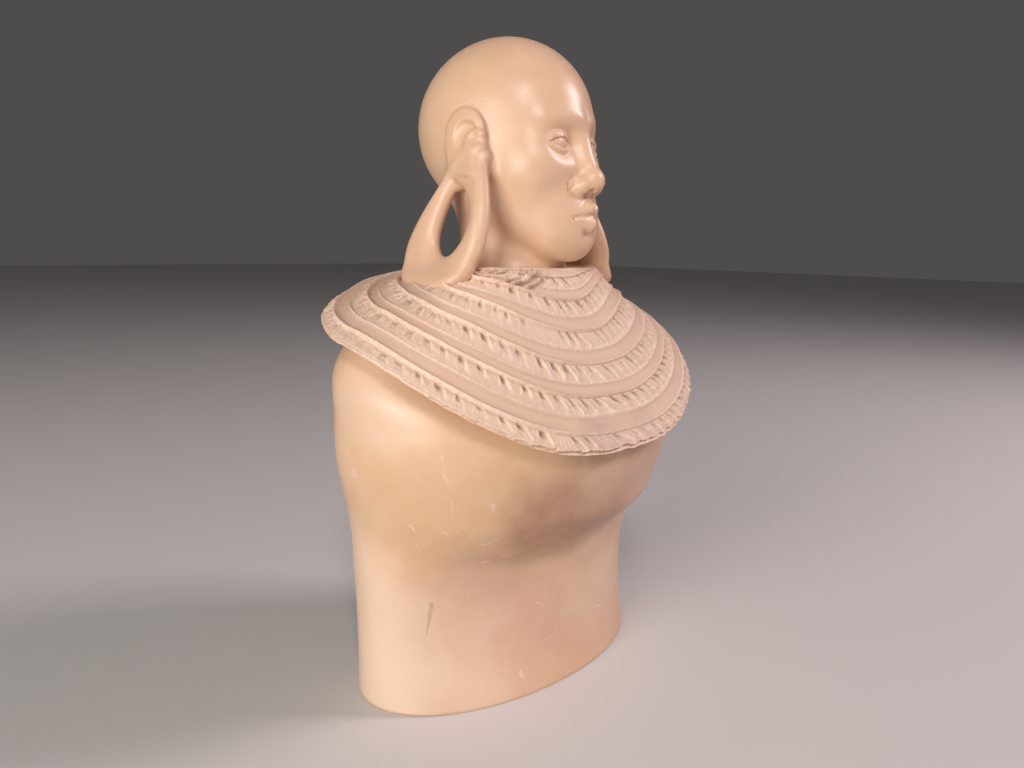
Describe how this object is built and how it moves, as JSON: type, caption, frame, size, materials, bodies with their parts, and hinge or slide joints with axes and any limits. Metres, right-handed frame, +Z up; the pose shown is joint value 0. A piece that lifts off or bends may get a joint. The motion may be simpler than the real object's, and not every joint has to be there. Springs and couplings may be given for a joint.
{
  "type": "carved stone bust",
  "caption": "Carved soapstone bust: bald head, stretched ear lobes cut through as loops, broad collar of plain and notched bands, armless torso on a flat oval underside.",
  "frame": {"origin": "middle of the flat oval underside", "axes": "+Z up; -Y is the way the chest faces, +Y the back; -X is the figure's right shoulder, +X its left"},
  "size_m": [0.0946, 0.0633, 0.1499],
  "materials": {
    "stone": "polished, duller in the carving"
  },
  "bodies": {
    "root": {"stone_bust": "stone"}
  },
  "joints": []
}
